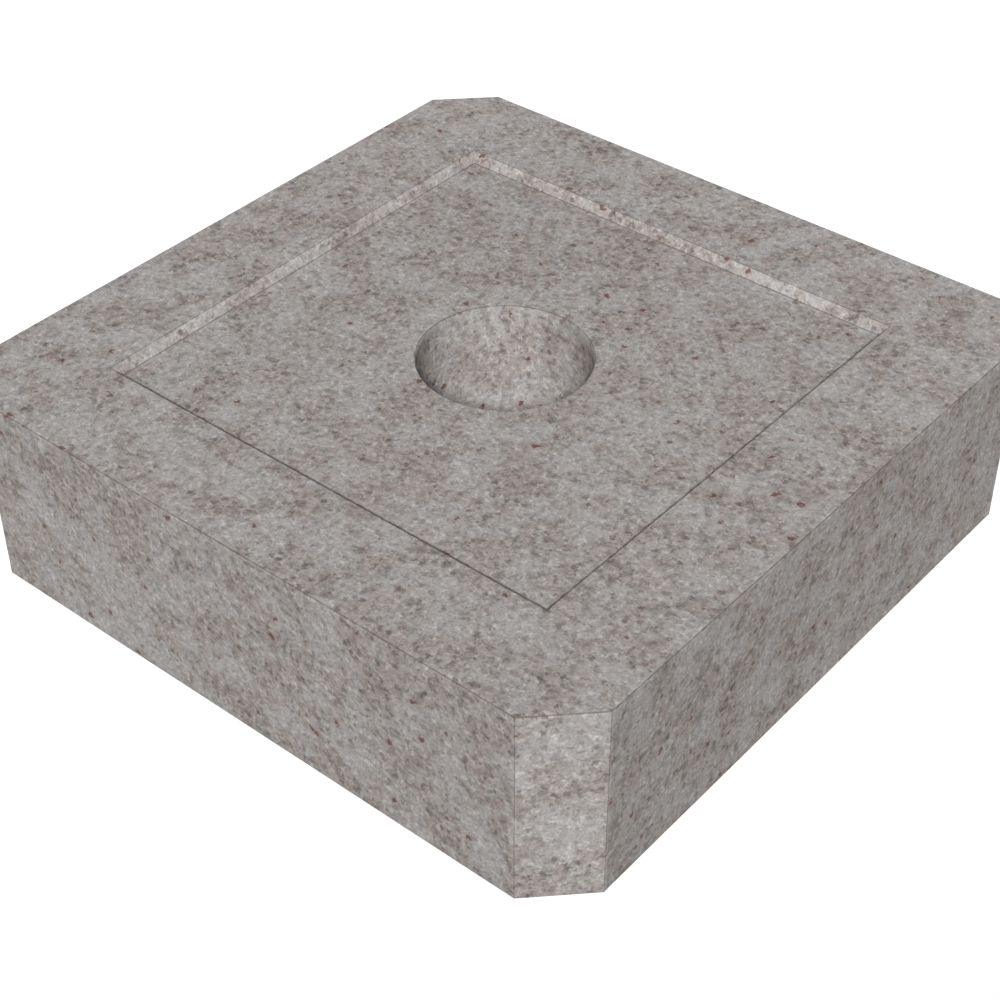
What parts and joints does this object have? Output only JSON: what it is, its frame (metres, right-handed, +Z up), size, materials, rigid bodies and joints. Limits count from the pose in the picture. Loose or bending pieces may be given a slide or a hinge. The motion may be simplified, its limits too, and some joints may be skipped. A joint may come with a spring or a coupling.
{
  "type": "column base block",
  "caption": "Square stone base block with cut-off upright corners, a shallow flared square seat in the top for a column's plinth, and a round hole down the middle.",
  "frame": {"origin": "centre of the flat underside, which stands on the ground", "axes": "+Z up, along the centre hole and square to the top face; X and Y square to the block's four flat sides"},
  "size_m": [0.35, 0.35, 0.1],
  "materials": {
    "speckled_stone": "matte"
  },
  "bodies": {
    "root": {"base_block": "speckled_stone"}
  },
  "joints": []
}
